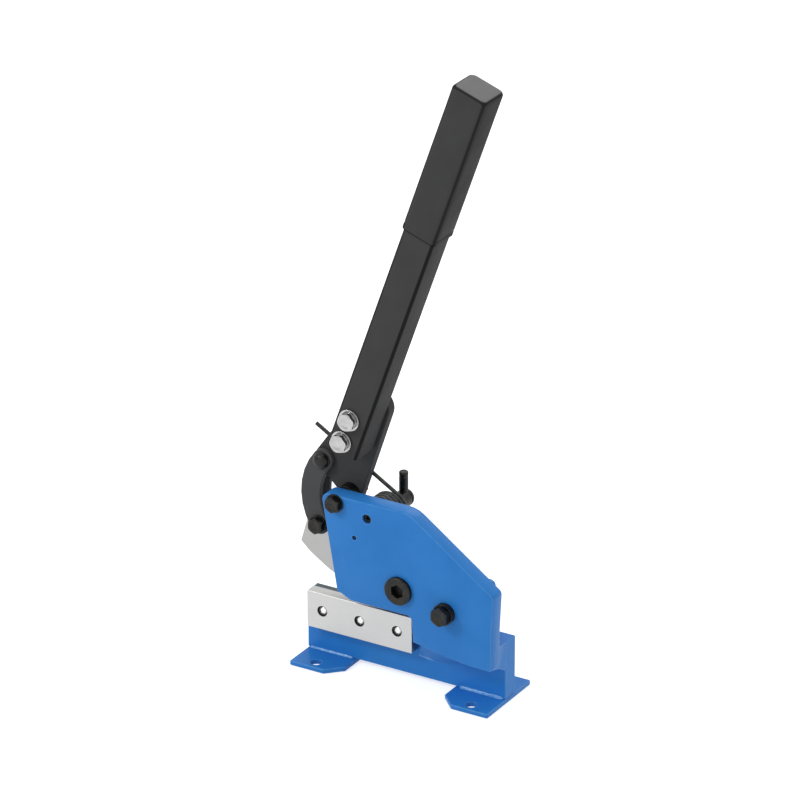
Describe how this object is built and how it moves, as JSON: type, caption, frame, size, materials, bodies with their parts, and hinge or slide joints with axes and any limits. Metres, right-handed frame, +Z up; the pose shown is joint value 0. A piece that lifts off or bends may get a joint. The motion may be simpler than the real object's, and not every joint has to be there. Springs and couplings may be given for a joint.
{
  "type": "bench shear",
  "caption": "Hand-lever bench shear: blue front plate on a two-foot stand, bar blades, bent links, square lever arm and a return spring.",
  "frame": {"origin": "on the bench under the feet, under the middle of the whole part", "axes": "+X along the blades towards the bar's right end as seen from the front, +Y from the front plate's face to the back, +Z up"},
  "size_m": [0.2551, 0.1018, 0.7058],
  "materials": {
    "blue_paint": "semi-gloss",
    "black_paint": "satin",
    "black_oxide": "satin",
    "ground_steel": "ground",
    "zinc": "satin",
    "chrome": "polished",
    "grip_rubber": "satin",
    "spring_steel": "satin"
  },
  "bodies": {
    "frame": {"front_plate": "blue_paint", "base_web": "blue_paint", "left_foot": "blue_paint", "right_foot": "blue_paint", "weld_bead_left_front": "blue_paint", "weld_bead_left_rear": "blue_paint", "weld_bead_right_front": "blue_paint", "weld_bead_right_rear": "blue_paint", "fixed_blade": "ground_steel", "blade_screw_left": "zinc", "blade_screw_middle": "zinc", "blade_screw_right": "zinc", "pivot_bolt": "black_oxide", "pivot_spacer": "black_oxide", "pivot_washer": "black_oxide", "pivot_nut": "black_oxide", "fulcrum_bolt": "black_oxide", "fulcrum_washer_front": "black_oxide", "fulcrum_washer_rear": "black_oxide", "fulcrum_nut": "black_oxide", "fulcrum_spacer": "black_oxide", "clamp_bolt": "black_oxide", "clamp_washer_front": "black_oxide", "clamp_washer_rear": "black_oxide", "clamp_nut": "black_oxide", "clamp_washer_outer": "black_oxide", "spring_axle": "black_oxide", "spring_stud": "black_oxide", "axle_screw": "black_oxide", "anchor_pin": "black_oxide"},
    "lever": {"lever_plate": "black_paint", "arm_tube": "black_paint", "hand_grip": "grip_rubber", "arm_upper_bolt": "chrome", "arm_upper_washer_front": "chrome", "arm_upper_washer_rear": "chrome", "arm_upper_nut": "chrome", "arm_lower_bolt": "chrome", "arm_lower_washer_front": "chrome", "arm_lower_washer_rear": "chrome", "arm_lower_nut": "chrome", "catch_pin": "black_oxide"},
    "blade": {"moving_blade": "ground_steel", "link_bottom_bolt": "black_oxide", "link_bottom_washer_front": "black_oxide", "link_bottom_washer_rear": "black_oxide", "link_bottom_nut": "black_oxide"},
    "links": {"front_link": "black_paint", "rear_link": "black_paint", "link_top_pin": "black_oxide", "link_top_clip": "black_oxide"},
    "spring": {"torsion_spring": "spring_steel"}
  },
  "joints": [
    {"name": "lever_swing", "type": "hinge", "parent": "frame", "child": "lever", "pos_m": [-0.06475, 0.0035, 0.2029], "axis": [0, -1, 0], "range_deg": [0, 46], "stiffness_Nm_per_rad": 3, "springref_deg": -17.19},
    {"name": "blade_swing", "type": "hinge", "parent": "frame", "child": "blade", "pos_m": [0.01375, 0.0035, 0.12], "axis": [0, -1, 0], "range_deg": [0, 15.5]},
    {"name": "link_swing", "type": "hinge", "parent": "lever", "child": "links", "pos_m": [-0.09645, 0.0035, 0.2348], "axis": [0, -1, 0], "range_deg": [-39.5, 0]},
    {"name": "spring_wind", "type": "hinge", "parent": "frame", "child": "spring", "pos_m": [-0.02395, 0.0009, 0.1882], "axis": [0, -1, 0], "range_deg": [0, 17.7], "deforming": ["torsion_spring"]}
  ],
  "couplings": [
    {"joint": "blade_swing", "follows": "lever_swing", "ratio": 0.3353},
    {"joint": "link_swing", "follows": "lever_swing", "ratio": -0.8572},
    {"joint": "spring_wind", "follows": "lever_swing", "ratio": 0.383}
  ]
}
